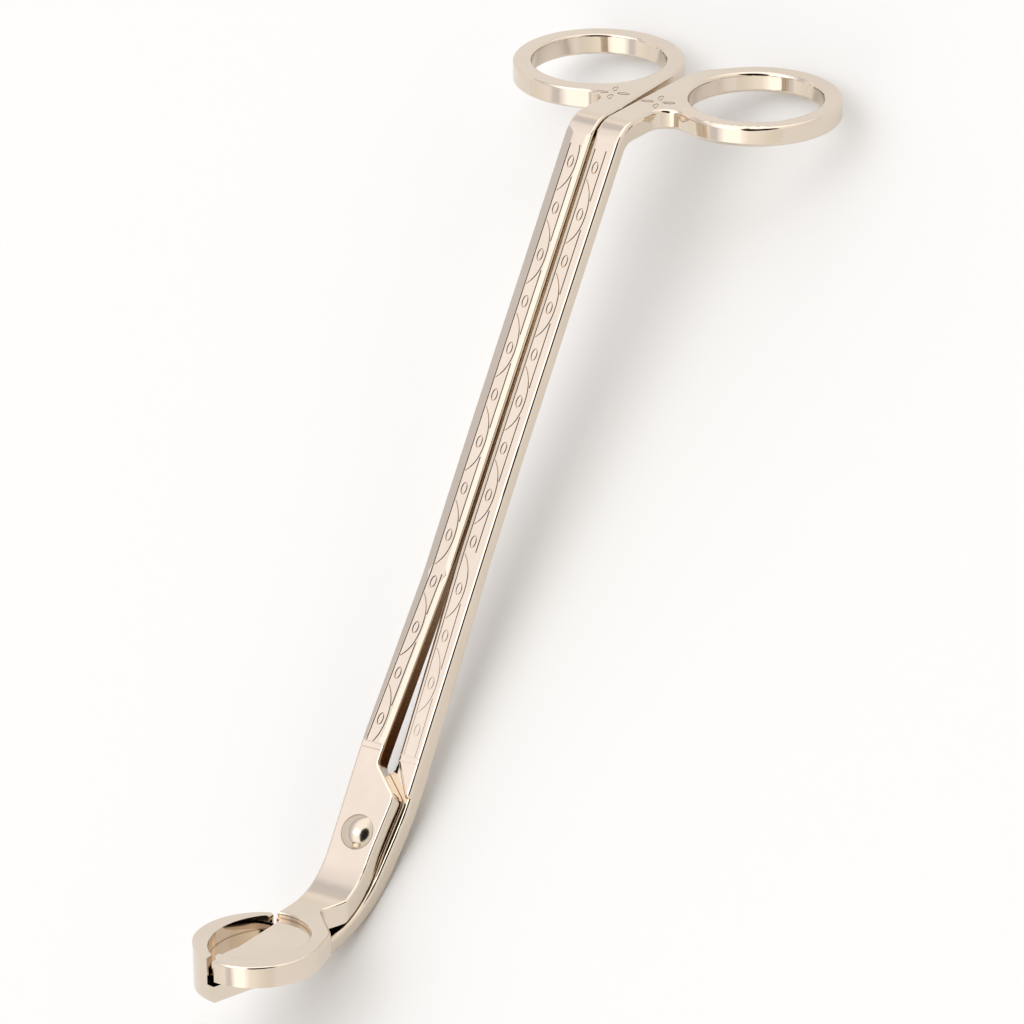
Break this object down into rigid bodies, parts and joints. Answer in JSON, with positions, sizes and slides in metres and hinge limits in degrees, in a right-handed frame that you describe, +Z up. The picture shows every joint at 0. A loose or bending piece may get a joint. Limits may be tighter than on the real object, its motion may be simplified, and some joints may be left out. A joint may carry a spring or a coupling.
{
  "type": "wick trimmer",
  "caption": "Long-handled plier-style wick trimmer with angled round jaws that catch the cut wick, crossed levers on a riveted pivot and angled finger rings.",
  "frame": {"origin": "centre of the bounding box in plan, on the surface that the shut tool lies on, touching it with its elbow and with the far edges of both finger rings", "axes": "+Y from the jaws to the finger rings, +Z up from that surface on the side of the rivet's domed head, +X to the right seen from the jaws"},
  "size_m": [0.0558, 0.1752, 0.0269],
  "materials": {
    "plated_steel": "polished champagne gold plating on steel, with cut line engraving",
    "plated_rivet": "polished champagne gold plating"
  },
  "bodies": {
    "lower_body": {"lower_lever": "plated_steel", "pivot_rivet": "plated_rivet"},
    "upper_body": {"upper_lever": "plated_steel"}
  },
  "joints": [
    {"name": "pivot", "type": "hinge", "parent": "lower_body", "child": "upper_body", "pos_m": [0, -0.05055, 0.00432], "axis": [0, -0.193, 0.9812], "range_deg": [0, 28]}
  ]
}
